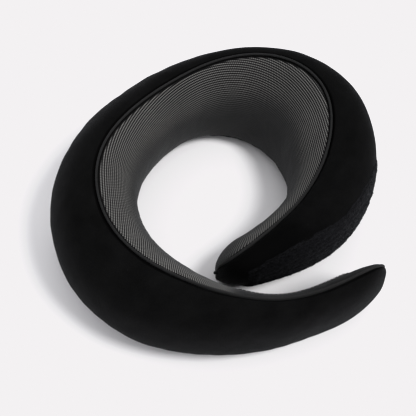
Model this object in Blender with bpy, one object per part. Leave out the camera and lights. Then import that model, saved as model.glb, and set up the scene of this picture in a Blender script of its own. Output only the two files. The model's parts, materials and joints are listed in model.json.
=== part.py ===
"""Wrap-around travel neck pillow: a foam collar in a zipped fabric cover.

The collar follows a spiral seen from above. Its short arm tucks inside the ring and its long arm
wraps round the outside of it, where a hook strip meets a loop patch. The collar rests on z = 0 with
+Z up, and the opening between the arms faces -Y.

Every soft layer is a sheet of points on one surface: a place along the spiral, an angle round the
oval section and a depth below the skin. The arms bend, so the layers are cut by upright cylinders
round two pivots: each arm ends in a convex face that turns inside a concave one.
"""

import math

import bmesh
import bpy
import numpy as np
from mathutils import Matrix, Vector

MM = 0.001

# Evenly spaced stations, short arm tip first. Millimetres and degrees:
# x, y, width, height, lean of the top away from the neck, angle of the top seam.
STATIONS = (
    (-0.5, -57.5, 33, 66, 18, 114),
    (73, -16, 55, 85, 7, 121),
    (80, 49, 62, 96, 12, 107),
    (34, 92, 48, 87, 10, 94),
    (-33, 85, 48, 82, -1, 98),
    (-86, 19, 59, 95, -1, 99),
    (-79, -53, 67, 97, 2, 101),
    (-26, -93, 55, 89, 3, 104),
    (49, -97, 31, 74, 5, 108),
    (120, -63, 27, 77, 4, 90),
)
SHORT_NOSE = 24 * MM  # length over which each arm's tip is rounded
LONG_NOSE = 44 * MM
PRESSED_FLAT = 2 * MM  # height the oval section loses where it rests
BOTTOM_SEAM = 232  # degrees round the section: 0 outside, 90 top, 180 neck side

COVER = 1.0 * MM  # thickness of the cover's fabric
GAP = 0.3 * MM  # between pieces that touch
FOAM_DEPTH = COVER + GAP
PATCH = 1.4 * MM  # thickness of the hook strip and the loop patch
LABEL = 0.5 * MM
PIPING_RADIUS = 1.2 * MM
PIPING_LIFT = PIPING_RADIUS + GAP

SHORT_PIVOT = (86 * MM, 25 * MM)  # where each arm bends, and the radius of its round end
SHORT_PIVOT_AT = 130 * MM  # the same place, measured along the spiral
SHORT_RADIUS = 42 * MM
LONG_PIVOT = (-15 * MM, -96 * MM)
LONG_PIVOT_AT = 530 * MM
LONG_RADIUS = 34 * MM
BEND_GAP = 1.0 * MM
BEND_REACH = 75 * MM

ZIP_FROM = 208 * MM  # the zip's opening, along the spiral
ZIP_TO = 342 * MM
ZIP_WINDOW = (8.6 * MM, 24.2 * MM)  # its lower and upper edge above the floor
ZIP_CENTRE = (0.2 * MM, 9.7 * MM)
ZIP_RADIUS = 102.5 * MM
ZIP_HEIGHT = 16 * MM
ZIP_SLOPE = 29  # degrees that the belly leans outwards there
ZIP_ARC = (64, 145)  # degrees, from the closed end to the open end
SLIDER_AT = 70
SLIDER_LENGTH = 11 * MM
PULL_HEIGHT = 6.3 * MM
PULL_LENGTH = 23.5 * MM

# Share of the nose's length at each row of points, close together where the tip curls round
NOSE_ROWS = (0.028, 0.08, 0.17, 0.3, 0.5, 0.75)
NOSE_SEAM_ROWS = (0.0006, 0.004, 0.012) + NOSE_ROWS


class Spline:
    """Natural cubic through values at evenly spaced stations, read at a share 0..1 of the way."""

    def __init__(self, values):
        self.values = np.asarray(values, float)
        count = len(self.values)
        self.step = 1 / (count - 1)
        matrix = np.eye(count)
        right = np.zeros(count)
        for i in range(1, count - 1):
            matrix[i, i - 1 : i + 2] = (1, 4, 1)
            bend = self.values[i - 1] - 2 * self.values[i] + self.values[i + 1]
            right[i] = 6 * bend / self.step**2
        self.curve = np.linalg.solve(matrix, right)

    def __call__(self, share):
        k = np.clip((share / self.step).astype(int), 0, len(self.values) - 2)
        t = share / self.step - k
        line = (1 - t) * self.values[k] + t * self.values[k + 1]
        before = (1 - t) * (1 - (1 - t) ** 2) * self.curve[k]
        after = t * (1 - t * t) * self.curve[k + 1]
        return line - self.step**2 / 6 * (before + after)


X, Y, WIDTH, HEIGHT, LEAN = (Spline([row[i] * MM for row in STATIONS]) for i in range(5))
TOP_SEAM = Spline([math.radians(row[5]) for row in STATIONS])

SHARES = np.linspace(0, 1, 801)
ALONG = np.concatenate(
    [[0], np.cumsum(np.hypot(np.diff(X(SHARES)), np.diff(Y(SHARES))))]
)
LENGTH = ALONG[-1]


def share_at(along):
    return np.interp(along, ALONG, SHARES)


def half_height(share):
    return (HEIGHT(share) + PRESSED_FLAT) / 2


def mid_height(share):
    return (HEIGHT(share) - PRESSED_FLAT) / 2


def surface(along, angle, depth):
    """Points of the collar: along the spiral, angle round the section, depth below the skin."""
    along, angle = np.broadcast_arrays(np.asarray(along, float), np.asarray(angle, float))
    short_turn = np.clip(along / SHORT_NOSE, 0, 1) * math.pi / 2
    long_turn = np.clip((LENGTH - along) / LONG_NOSE, 0, 1) * math.pi / 2
    place = np.where(
        along < SHORT_NOSE,
        SHORT_NOSE - (SHORT_NOSE - depth) * np.cos(short_turn),
        along,
    )
    place = np.where(
        along > LENGTH - LONG_NOSE,
        LENGTH - LONG_NOSE + (LONG_NOSE - depth) * np.cos(long_turn),
        place,
    )
    wide = np.sin(short_turn) * np.sin(long_turn)
    tall = np.sqrt(wide)
    share = share_at(place)
    beyond = place - np.clip(place, 0, LENGTH)
    nudge = 1e-3
    ahead = np.clip(share + nudge, 0, 1)
    behind = np.clip(share - nudge, 0, 1)
    tangent = np.stack([X(ahead) - X(behind), Y(ahead) - Y(behind)], -1)
    tangent /= np.linalg.norm(tangent, axis=-1, keepdims=True)
    rise = (half_height(share) - depth) * tall * np.sin(angle)
    out = (WIDTH(share) / 2 - depth) * wide * np.cos(angle)
    out = out + LEAN(share) * tall * rise / half_height(share)
    x = X(share) + tangent[..., 0] * beyond + tangent[..., 1] * out
    y = Y(share) + tangent[..., 1] * beyond - tangent[..., 0] * out
    z = np.maximum(mid_height(share) + rise, max(depth, 0))
    return np.stack([x, y, z], -1)


# Columns of points round the section. 0 is the bottom seam, TOP the top seam, and the last is
# the bottom seam again, reached over the neck side.
OUTSIDE = (BOTTOM_SEAM - 360, -105, -75, None, None, -5, 22, 50)
ZIP_LOW, ZIP_HIGH = 3, 4
TOP = len(OUTSIDE) + 1
NECK_CELLS = 6
LAST = TOP + NECK_CELLS
NECK_MIDDLE = TOP + NECK_CELLS // 2


def angle_at_height(height, along, lowest, highest):
    share = share_at(along)
    sine = (height - mid_height(share)) / half_height(share)
    return np.arcsin(np.clip(sine, lowest, highest))


def column_angle(k, along):
    """Angle of column k at places along the spiral."""
    top = TOP_SEAM(share_at(along))
    if k == ZIP_LOW:
        return angle_at_height(ZIP_WINDOW[0], along, -0.93, -0.8)
    if k == ZIP_HIGH:
        return angle_at_height(ZIP_WINDOW[1], along, -0.76, -0.3)
    if k < len(OUTSIDE):
        return np.full_like(top, math.radians(OUTSIDE[k]))
    if k < TOP:
        return (math.radians(OUTSIDE[-1]) + top) / 2
    return top + (math.radians(BOTTOM_SEAM) - top) * (k - TOP) / NECK_CELLS


def cut_places(pivot, radius, start, reach, columns, depth):
    """Where each column meets the upright cylinder round a pivot, going from start by reach."""
    inside = np.full(len(columns), start)
    outside = inside + reach
    for _ in range(40):
        middle = (inside + outside) / 2
        angles = np.array([column_angle(k, m) for k, m in zip(columns, middle)])
        points = surface(middle, angles, depth)
        off = np.hypot(points[:, 0] - pivot[0], points[:, 1] - pivot[1]) > radius
        outside = np.where(off, middle, outside)
        inside = np.where(off, inside, middle)
    return middle


def run(start, end, count):
    """Rows of places from start to end, the last one left out."""
    return [start + (end - start) * i / count for i in range(count)]


def short_arm_rows(columns, depth=0, radius=SHORT_RADIUS, nose=NOSE_ROWS):
    cut = cut_places(SHORT_PIVOT, radius, SHORT_PIVOT_AT, BEND_REACH, columns, depth)
    rows = [np.full(len(columns), SHORT_NOSE * share) for share in nose]
    return np.array(rows + run(np.full(len(columns), SHORT_NOSE), cut, 11) + [cut])


def back_rows(columns, depth=FOAM_DEPTH, gap=BEND_GAP):
    start = cut_places(
        SHORT_PIVOT, SHORT_RADIUS + gap, SHORT_PIVOT_AT, BEND_REACH, columns, depth
    )
    end = cut_places(LONG_PIVOT, LONG_RADIUS + gap, LONG_PIVOT_AT, -BEND_REACH, columns, depth)
    zip_from = np.full(len(columns), ZIP_FROM)
    zip_to = np.full(len(columns), ZIP_TO)
    rows = run(start, zip_from, BACK_ROWS[0])
    rows += run(zip_from, zip_to, BACK_ROWS[1])
    rows += run(zip_to, end, BACK_ROWS[2])
    return np.array(rows + [end])


def long_arm_rows(columns, depth=0, radius=LONG_RADIUS, nose=NOSE_ROWS):
    cut = cut_places(LONG_PIVOT, radius, LONG_PIVOT_AT, -BEND_REACH, columns, depth)
    rows = [np.full(len(columns), LENGTH - LONG_NOSE * share) for share in reversed(nose)]
    tip = np.full(len(columns), LENGTH - LONG_NOSE)
    return np.array(run(cut, tip, 11) + [tip] + rows)


BACK_ROWS = (3, 9, 11)
SEGMENTS = {"short_arm": short_arm_rows, "back": back_rows, "long_arm": long_arm_rows}
PIVOTS = {"short_arm": SHORT_PIVOT, "back": (0, 0), "long_arm": LONG_PIVOT}


def sheet_points(rows, columns, depth, edge_gap=0.0):
    """Grid of points; its first and last column draw back from the seams by edge_gap."""
    angles = np.stack([column_angle(k, rows[:, i]) for i, k in enumerate(columns)], 1)
    if edge_gap:
        turn = np.sin(np.clip(rows / SHORT_NOSE, 0, 1) * math.pi / 2)
        turn *= np.sin(np.clip((LENGTH - rows) / LONG_NOSE, 0, 1) * math.pi / 2)
        back = edge_gap / (WIDTH(share_at(rows)) / 2 * turn)
        angles[:, 0] += back[:, 0]
        angles[:, -1] -= back[:, -1]
    return surface(rows, angles, depth)


def material(name, colour, roughness, metallic=0.0):
    made = bpy.data.materials.new(name)
    made.use_nodes = True
    shader = made.node_tree.nodes["Principled BSDF"]
    shader.inputs["Base Color"].default_value = (*colour, 1)
    shader.inputs["Roughness"].default_value = roughness
    shader.inputs["Metallic"].default_value = metallic
    made.diffuse_color = (*colour, 1)
    return made


def finish_mesh(name, bm, made_of, pivot=(0, 0, 0), smooth=40):
    """Turns a bmesh in world space into an object whose origin is its pivot."""
    bmesh.ops.recalc_face_normals(bm, faces=bm.faces)
    mesh = bpy.data.meshes.new(name)
    bm.to_mesh(mesh)
    bm.free()
    mesh.transform(Matrix.Translation(-Vector(pivot)))
    mesh.shade_smooth()
    mesh.set_sharp_from_angle(angle=math.radians(smooth))
    mesh.materials.append(made_of)
    made = bpy.data.objects.new(name, mesh)
    made.location = pivot
    bpy.context.scene.collection.objects.link(made)
    return made


def slab(name, outer, inner, made_of, pivot, left_out=()):
    """Closed sheet between two grids of points, without the cells left out.

    Each cell is split along the same diagonal as in core(), so that layers stay parallel."""
    bm = bmesh.new()
    rows, columns = outer.shape[:2]
    cells = {(i, k) for i in range(rows - 1) for k in range(columns - 1)} - set(left_out)
    used = {(i + a, k + b) for i, k in cells for a in (0, 1) for b in (0, 1)}
    out = {key: bm.verts.new(outer[key]) for key in sorted(used)}
    inn = {key: bm.verts.new(inner[key]) for key in sorted(used)}
    for i, k in sorted(cells):
        corners = [(i, k), (i + 1, k), (i + 1, k + 1), (i, k + 1)]
        for triangle in (corners[:3], (corners[0], *corners[2:])):
            bm.faces.new([out[c] for c in triangle])
            bm.faces.new([inn[c] for c in reversed(triangle)])
        beside = [(i, k - 1), (i + 1, k), (i, k + 1), (i - 1, k)]
        for side, neighbour in enumerate(beside):
            if neighbour not in cells:
                a, b = corners[side], corners[(side + 1) % 4]
                bm.faces.new([out[b], out[a], inn[a], inn[b]])
    return finish_mesh(name, bm, made_of, pivot)


def round_end(ring, pivot):
    """Rings that close a section over the upright cylinder it ends on, down to one point."""
    away = ring[:, :2] - np.array(pivot)
    radius = np.linalg.norm(away, axis=1)
    bearing = np.unwrap(np.arctan2(away[:, 1], away[:, 0]))
    middle = np.array([bearing.min() + bearing.max(), ring[:, 2].min() + ring[:, 2].max()]) / 2
    rings = []
    for share in (0.75, 0.5, 0.25, 0):
        turned = middle[0] + (bearing - middle[0]) * share
        height = middle[1] + (ring[:, 2] - middle[1]) * share
        points = [pivot[0] + radius * np.cos(turned), pivot[1] + radius * np.sin(turned), height]
        rings.append(np.stack(points, 1))
    rings[-1] = rings[-1][:1]
    return rings


def core(name, rings, made_of, pivot):
    """Closed solid through rings of points; a ring of one point is a tip."""
    bm = bmesh.new()
    made = [[bm.verts.new(p) for p in ring] for ring in rings]
    for first, second in zip(made, made[1:]):
        count = max(len(first), len(second))
        for k in range(count):
            after = (k + 1) % count
            if len(first) == 1:
                bm.faces.new([first[0], second[after], second[k]])
            elif len(second) == 1:
                bm.faces.new([first[k], first[after], second[0]])
            else:
                bm.faces.new([first[k], first[after], second[after]])
                bm.faces.new([first[k], second[after], second[k]])
    return finish_mesh(name, bm, made_of, pivot)


def upright(pivot):
    return (pivot[0], pivot[1], 0)


def foam_cores(made_of):
    columns = list(range(LAST))
    for name, rows_of in SEGMENTS.items():
        grid = list(sheet_points(rows_of(columns), columns, FOAM_DEPTH))
        if name == "short_arm":
            tip = surface(0, 0, FOAM_DEPTH)[None]
            rings = [tip] + grid + round_end(grid[-1], SHORT_PIVOT)
        elif name == "back":
            first = round_end(grid[0], SHORT_PIVOT)[::-1]
            rings = first + grid + round_end(grid[-1], LONG_PIVOT)
        else:
            tip = surface(LENGTH, 0, FOAM_DEPTH)[None]
            rings = round_end(grid[0], LONG_PIVOT)[::-1] + grid + [tip]
        core("foam_core_" + name, rings, made_of, upright(PIVOTS[name]))


def cover_panels(prefix, columns, made_of, zip_opening):
    for name, rows_of in SEGMENTS.items():
        outer = sheet_points(rows_of(columns), columns, 0, GAP / 2)
        inner = sheet_points(rows_of(columns), columns, COVER, GAP / 2)
        opening = []
        if zip_opening and name == "back":
            rows = range(BACK_ROWS[0], BACK_ROWS[0] + BACK_ROWS[1])
            opening = [(i, ZIP_LOW) for i in rows]
        slab(prefix + name, outer, inner, made_of, upright(PIVOTS[name]), opening)


def tube(name, points, radius, made_of, pivot):
    curve = bpy.data.curves.new(name, "CURVE")
    curve.dimensions = "3D"
    curve.bevel_depth = radius
    curve.bevel_resolution = 1
    curve.use_fill_caps = True
    spline = curve.splines.new("POLY")
    spline.points.add(len(points) - 1)
    for place, point in zip(spline.points, points):
        place.co = (*(Vector(point) - Vector(pivot)), 1)
    spline.use_smooth = True
    curve.materials.append(made_of)
    made = bpy.data.objects.new(name, curve)
    made.location = pivot
    bpy.context.scene.collection.objects.link(made)
    return made


def piping(prefix, column, made_of):
    """A cord along one seam, standing on the fabric's edges, in one piece for each segment."""
    depth = -PIPING_LIFT
    spare = BEND_GAP / 2
    rows = {
        "short_arm": short_arm_rows([column], depth, SHORT_RADIUS - spare, NOSE_SEAM_ROWS),
        "back": back_rows([column], depth, BEND_GAP + spare),
        "long_arm": long_arm_rows([column], depth, LONG_RADIUS - spare, NOSE_SEAM_ROWS),
    }
    for name, places in rows.items():
        points = sheet_points(places, [column], depth)[:, 0]
        tube(prefix + name, points, PIPING_RADIUS, made_of, upright(PIVOTS[name]))


def patch(name, segment, columns, rows, thickness, made_of):
    """A flat piece sewn on the cover, over the given columns and rows of its points."""
    places = SEGMENTS[segment](columns)[rows[0] : rows[1]]
    outer = sheet_points(places, columns, -GAP - thickness)
    inner = sheet_points(places, columns, -GAP)
    return slab(name, outer, inner, made_of, upright(PIVOTS[segment]))


# The zip's own directions at a bearing: along the arc, across it up the belly, and outwards
def zip_point(bearing, across, out):
    slope = math.radians(ZIP_SLOPE)
    radius = ZIP_RADIUS + across * math.sin(slope) + out * math.cos(slope)
    height = ZIP_HEIGHT + across * math.cos(slope) - out * math.sin(slope)
    turn = math.radians(bearing)
    x = ZIP_CENTRE[0] + radius * math.cos(turn)
    y = ZIP_CENTRE[1] + radius * math.sin(turn)
    return Vector((x, y, height))


def zip_sweep(name, outline, bearings, made_of, pivot=(0, 0, 0), mirrored=False):
    """An outline of (across, out) in millimetres, carried round the zip's arc."""
    bm = bmesh.new()
    side = -1 if mirrored else 1
    rings = []
    for bearing in bearings:
        ring = [zip_point(bearing, side * a * MM, o * MM) for a, o in outline]
        rings.append([bm.verts.new(p) for p in ring])
    count = len(outline)
    for first, second in zip(rings, rings[1:]):
        for k in range(count):
            after = (k + 1) % count
            bm.faces.new([first[k], first[after], second[after], second[k]])
    bm.faces.new(rings[0])
    bm.faces.new(rings[-1])
    return finish_mesh(name, bm, made_of, pivot)


def bearings(start, end, count):
    return [start + (end - start) * i / count for i in range(count + 1)]


TAPE = ((1.2, 1.1), (4.6, 0.2), (8.0, -1.0), (8.0, -0.5), (4.6, 0.7), (1.2, 1.6))
COIL = ((0.6, 1.9), (2.9, 1.9), (3.0, 2.7), (2.6, 3.4), (0.6, 3.4))
STOP = ((-2.8, 1.9), (2.8, 1.9), (2.8, 3.5), (-2.8, 3.5))
SLIDER_HALF = (
    (0.3, 0.3), (2.9, 0.3), (2.9, -0.4), (-2.9, -0.4), (-2.9, 0.3), (-0.3, 0.3), (-0.3, 3.7),
    (-3.3, 3.7), (-3.3, 1.6), (-4.5, 1.6), (-4.5, 4.9), (4.5, 4.9), (4.5, 1.6), (3.3, 1.6),
    (3.3, 3.7), (0.3, 3.7),
)


def zip_fixed_parts(tape_cloth, nylon, metal):
    start, end = ZIP_ARC
    tape_arc = bearings(start, end, 14)
    coil_arc = bearings(start + 1.6, end - 1.6, 14)
    for side, mirrored in (("upper", False), ("lower", True)):
        zip_sweep("zip_tape_" + side, TAPE, tape_arc, tape_cloth, mirrored=mirrored)
        zip_sweep("zip_coil_" + side, COIL, coil_arc, nylon, mirrored=mirrored)
    zip_sweep("zip_top_stop", STOP, (start + 0.4, start + 1.4), metal)
    zip_sweep("zip_bottom_stop", STOP, (end - 1.4, end - 0.4), metal)


def zip_matrix(bearing, out):
    """Local x along the arc, y across the zip, z outwards."""
    origin = zip_point(bearing, 0, out)
    across = (zip_point(bearing, 1, out) - origin).normalized()
    outwards = (zip_point(bearing, 0, out + 1) - origin).normalized()
    along = across.cross(outwards)
    matrix = Matrix((along, across, outwards)).transposed().to_4x4()
    matrix.translation = origin
    return matrix


def outline_plate(name, loops, thickness, matrix, made_of):
    """A flat plate from closed outlines in millimetres; the second loop is a hole."""
    curve = bpy.data.curves.new(name, "CURVE")
    curve.dimensions = "2D"
    curve.fill_mode = "BOTH"
    curve.extrude = thickness / 2
    for loop in loops:
        spline = curve.splines.new("POLY")
        spline.points.add(len(loop) - 1)
        spline.use_cyclic_u = True
        for place, (x, y) in zip(spline.points, loop):
            place.co = (x * MM, y * MM, 0, 1)
    curve.materials.append(made_of)
    made = bpy.data.objects.new(name, curve)
    made.matrix_world = matrix
    bpy.context.scene.collection.objects.link(made)
    return made


def arc_points(centre, radius, start, end, count):
    turns = [math.radians(t) for t in bearings(start, end, count)]
    return [(centre[0] + radius * math.cos(t), centre[1] + radius * math.sin(t)) for t in turns]


def zip_slider(metal):
    """Two plates joined by a web between the coils, with a bridge that holds the pull."""
    half_turn = math.degrees(SLIDER_LENGTH / 2 / ZIP_RADIUS)
    arc = bearings(SLIDER_AT - half_turn, SLIDER_AT + half_turn, 4)
    pivot = upright(ZIP_CENTRE)
    slider = zip_sweep("zip_slider", SLIDER_HALF, arc, metal, pivot)
    outside = [(-4.4, 0)] + arc_points((0, 2.6), 4.2, 175, 5, 8) + [(4.4, 0)]
    inside = [(3.2, 0)] + arc_points((0, 2.2), 3.1, 5, 175, 8) + [(-3.2, 0)]
    bridge = outline_plate("bridge_shape", [outside + inside], 1.6 * MM, Matrix(), metal)
    stand = Matrix.Rotation(math.pi / 2, 4, "X")
    bridge.matrix_world = zip_matrix(SLIDER_AT, 4.5 * MM) @ stand
    bridge.hide_render = True
    bridge.display_type = "WIRE"
    join = slider.modifiers.new("bridge", "BOOLEAN")
    join.operation = "UNION"
    join.object = solid_copy(bridge, "bridge_solid")
    return slider


def solid_copy(curve_object, name):
    """A hidden closed mesh made from a filled curve, for a Boolean."""
    bpy.context.view_layer.update()
    evaluated = curve_object.evaluated_get(bpy.context.evaluated_depsgraph_get())
    mesh = bpy.data.meshes.new_from_object(evaluated)
    bm = bmesh.new()
    bm.from_mesh(mesh)
    bmesh.ops.remove_doubles(bm, verts=bm.verts, dist=1e-6)
    bmesh.ops.recalc_face_normals(bm, faces=bm.faces)
    bm.to_mesh(mesh)
    bm.free()
    made = bpy.data.objects.new(name, mesh)
    made.matrix_world = curve_object.matrix_world
    made.hide_render = True
    made.display_type = "WIRE"
    bpy.context.scene.collection.objects.link(made)
    return made


def zip_pull(metal):
    """A tab with an eye round the slider's bridge; its origin is on the bar it turns about."""
    end = PULL_LENGTH / MM
    outer = [(-0.9, -3.4), (end - 3.4, -3.4)]
    outer += arc_points((end - 3.4, 0), 3.4, -75, 75, 6) + [(end - 3.4, 3.4), (-0.9, 3.4)]
    eye = [(0.9, -1.6), (0.9, 1.6), (7.5, 1.6), (7.5, -1.6)]
    matrix = zip_matrix(SLIDER_AT, PULL_HEIGHT)
    return outline_plate("zip_pull", [outer, eye], 1.5 * MM, matrix, metal)


def main():
    for old in list(bpy.data.objects):
        bpy.data.objects.remove(old)
    foam = material("memory_foam", (0.75, 0.70, 0.55), 0.9)
    jersey = material("black_jersey", (0.012, 0.012, 0.014), 0.85)
    knit = material("grey_ribbed_knit", (0.10, 0.10, 0.10), 0.8)
    piping_cloth = material("black_piping", (0.02, 0.02, 0.022), 0.7)
    loop_pile = material("loop_pile", (0.02, 0.02, 0.024), 0.95)
    hook_nylon = material("hook_nylon", (0.03, 0.03, 0.032), 0.55)
    tape_cloth = material("zip_tape_cloth", (0.015, 0.015, 0.016), 0.8)
    nylon = material("zip_nylon", (0.02, 0.02, 0.022), 0.4)
    metal = material("zip_metal", (0.05, 0.05, 0.055), 0.35, 1.0)
    label_cloth = material("label_satin", (0.7, 0.7, 0.68), 0.5)

    foam_cores(foam)
    cover_panels("outer_shell_", list(range(0, TOP + 1)), jersey, True)
    cover_panels("inner_panel_", list(range(TOP, LAST + 1)), knit, False)
    piping("top_piping_", TOP, piping_cloth)
    piping("bottom_piping_", LAST, piping_cloth)
    patch("loop_patch", "short_arm", list(range(ZIP_LOW, TOP - 1)), (5, 17), PATCH, loop_pile)
    neck = list(range(TOP + 2, NECK_MIDDLE + 3))
    patch("hook_strip", "long_arm", neck, (4, 15), PATCH, hook_nylon)
    label_rows = (sum(BACK_ROWS[:2]) + 1, sum(BACK_ROWS[:2]) + 4)
    patch("care_label", "back", [ZIP_LOW, ZIP_HIGH], label_rows, LABEL, label_cloth)
    zip_fixed_parts(tape_cloth, nylon, metal)
    zip_slider(metal)
    zip_pull(metal)


main()
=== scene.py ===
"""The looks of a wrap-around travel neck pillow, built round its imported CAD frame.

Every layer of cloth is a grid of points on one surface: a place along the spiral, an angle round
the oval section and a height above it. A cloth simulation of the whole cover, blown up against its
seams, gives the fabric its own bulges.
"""

import math

import bmesh
import bpy
import numpy as np
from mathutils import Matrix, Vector
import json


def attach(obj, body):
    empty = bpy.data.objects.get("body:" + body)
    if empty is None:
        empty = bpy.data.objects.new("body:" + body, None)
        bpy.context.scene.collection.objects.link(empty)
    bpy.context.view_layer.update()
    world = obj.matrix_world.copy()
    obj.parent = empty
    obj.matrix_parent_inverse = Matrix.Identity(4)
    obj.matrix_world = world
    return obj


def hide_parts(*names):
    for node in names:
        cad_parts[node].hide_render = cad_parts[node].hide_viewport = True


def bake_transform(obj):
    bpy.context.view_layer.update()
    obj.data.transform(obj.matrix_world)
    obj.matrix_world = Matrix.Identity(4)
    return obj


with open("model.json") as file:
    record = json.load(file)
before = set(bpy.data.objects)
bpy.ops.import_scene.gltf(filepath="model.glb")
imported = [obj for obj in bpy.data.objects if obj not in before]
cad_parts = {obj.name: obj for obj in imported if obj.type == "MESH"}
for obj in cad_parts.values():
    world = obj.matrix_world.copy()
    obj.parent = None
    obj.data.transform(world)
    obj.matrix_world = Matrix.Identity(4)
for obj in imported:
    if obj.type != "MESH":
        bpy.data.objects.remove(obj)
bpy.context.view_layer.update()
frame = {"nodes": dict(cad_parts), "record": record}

MM = 0.001

# ---- The collar's shape, as in the CAD model ----

# Evenly spaced stations, short arm tip first. Millimetres and degrees:
# x, y, width, height, lean of the top away from the neck, angle of the top seam.
STATIONS = (
    (-0.5, -57.5, 33, 66, 18, 114),
    (73, -16, 55, 85, 7, 121),
    (80, 49, 62, 96, 12, 107),
    (34, 92, 48, 87, 10, 94),
    (-33, 85, 48, 82, -1, 98),
    (-86, 19, 59, 95, -1, 99),
    (-79, -53, 67, 97, 2, 101),
    (-26, -93, 55, 89, 3, 104),
    (49, -97, 31, 74, 5, 108),
    (120, -63, 27, 77, 4, 90),
)
SHORT_NOSE = 24 * MM  # length over which each arm's tip is rounded
LONG_NOSE = 44 * MM
PRESSED_FLAT = 2 * MM  # height the oval section loses where it rests
BOTTOM_SEAM = math.radians(232)  # round the section: 0 outside, 90 top, 180 neck side

# Where the cover's pieces end behind the bends, as shares of the spiral
REAR_CUT = 0.389
SIDE_CUT = 0.556
SHORT_BEND = ((0.086, 0.062, 0.045), (0.086, -0.010, 0.045))  # from the back to the arm
LONG_BEND = ((-0.054, -0.096, 0.045), (0.028, -0.096, 0.045))

ZIP_FROM = 215 * MM  # the zip's opening, along the spiral, and its edges above the floor
ZIP_TO = 334 * MM
ZIP_WINDOW = (8.6 * MM, 24.2 * MM)
ZIP_CENTRE = (0.2 * MM, 9.7 * MM)
ZIP_RADIUS = 102.5 * MM
ZIP_HEIGHT = 16 * MM
ZIP_SLOPE = math.radians(29)
ZIP_ARC = (64, 145)


class Spline:
    """Natural cubic through values at evenly spaced stations, read at a share 0..1 of the way."""

    def __init__(self, values):
        self.values = np.asarray(values, float)
        count = len(self.values)
        self.step = 1 / (count - 1)
        matrix = np.eye(count)
        right = np.zeros(count)
        for i in range(1, count - 1):
            matrix[i, i - 1 : i + 2] = (1, 4, 1)
            bend = self.values[i - 1] - 2 * self.values[i] + self.values[i + 1]
            right[i] = 6 * bend / self.step**2
        self.curve = np.linalg.solve(matrix, right)

    def __call__(self, share):
        share = np.asarray(share, float)
        k = np.clip((share / self.step).astype(int), 0, len(self.values) - 2)
        t = share / self.step - k
        line = (1 - t) * self.values[k] + t * self.values[k + 1]
        before = (1 - t) * (1 - (1 - t) ** 2) * self.curve[k]
        after = t * (1 - t * t) * self.curve[k + 1]
        return line - self.step**2 / 6 * (before + after)


X, Y, WIDTH, HEIGHT, LEAN = (Spline([row[i] * MM for row in STATIONS]) for i in range(5))
TOP_SEAM = Spline([math.radians(row[5]) for row in STATIONS])
SHARES = np.linspace(0, 1, 801)
ALONG = np.concatenate([[0], np.cumsum(np.hypot(np.diff(X(SHARES)), np.diff(Y(SHARES))))])
LENGTH = ALONG[-1]


def share_at(along):
    return np.interp(along, ALONG, SHARES)


def along_at(share):
    return float(np.interp(share, SHARES, ALONG))


def half_height(share):
    return (HEIGHT(share) + PRESSED_FLAT) / 2


def mid_height(share):
    return (HEIGHT(share) - PRESSED_FLAT) / 2


def surface(along, angle, depth=0.0):
    """Points of the collar: along the spiral, angle round the section, depth below the skin."""
    along, angle = np.broadcast_arrays(np.asarray(along, float), np.asarray(angle, float))
    short_turn = np.clip(along / SHORT_NOSE, 0, 1) * math.pi / 2
    long_turn = np.clip((LENGTH - along) / LONG_NOSE, 0, 1) * math.pi / 2
    short_end = SHORT_NOSE - (SHORT_NOSE - depth) * np.cos(short_turn)
    long_end = LENGTH - LONG_NOSE + (LONG_NOSE - depth) * np.cos(long_turn)
    place = np.where(along < SHORT_NOSE, short_end, along)
    place = np.where(along > LENGTH - LONG_NOSE, long_end, place)
    wide = np.sin(short_turn) * np.sin(long_turn)
    tall = np.sqrt(wide)
    share = share_at(place)
    beyond = place - np.clip(place, 0, LENGTH)
    ahead = np.clip(share + 1e-3, 0, 1)
    behind = np.clip(share - 1e-3, 0, 1)
    tangent = unit(np.stack([X(ahead) - X(behind), Y(ahead) - Y(behind)], -1))
    rise = (half_height(share) - depth) * tall * np.sin(angle)
    out = (WIDTH(share) / 2 - depth) * wide * np.cos(angle)
    out = out + LEAN(share) * tall * rise / half_height(share)
    x = X(share) + tangent[..., 0] * beyond + tangent[..., 1] * out
    y = Y(share) + tangent[..., 1] * beyond - tangent[..., 0] * out
    z = np.maximum(mid_height(share) + rise, max(depth, 0))
    return np.stack([x, y, z], -1)


def unit(vectors):
    return vectors / np.maximum(np.linalg.norm(vectors, axis=-1, keepdims=True), 1e-12)


def normals(along, angle):
    """Directions out of the skin, from small steps along it and round it."""
    step = 0.4 * MM
    turn = 0.01
    low = np.maximum(along - step, 0.05 * MM)
    high = np.minimum(along + step, LENGTH - 0.05 * MM)
    forward = surface(high, angle) - surface(low, angle)
    around = surface(along, angle + turn) - surface(along, angle - turn)
    out = unit(np.cross(forward, around))
    flat = surface(along, angle)[..., 2] < 1e-6
    return np.where(flat[..., None], (0, 0, -1), out)


# ---- Grids of points ----


def rows_between(start, end, step):
    """Places along the spiral, evenly spaced, and crowded where a tip curls round."""
    rows = []
    if start <= 0:
        count = round(1.5 * SHORT_NOSE / step)
        rows += [SHORT_NOSE * (i / count) ** 2 for i in range(count)]
        start = SHORT_NOSE
    last = LENGTH - LONG_NOSE if end >= LENGTH else end
    count = round((last - start) / step)
    rows += list(np.linspace(start, last, count + 1))
    if end >= LENGTH:
        count = round(1.2 * LONG_NOSE / step)
        rows += [LENGTH - LONG_NOSE * (i / count) ** 2 for i in reversed(range(count))]
    return np.array(rows)


def angle_at_height(height, rows, lowest, highest):
    share = share_at(rows)
    sine = (height - mid_height(share)) / half_height(share)
    return np.arcsin(np.clip(sine, lowest, highest))


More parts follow.
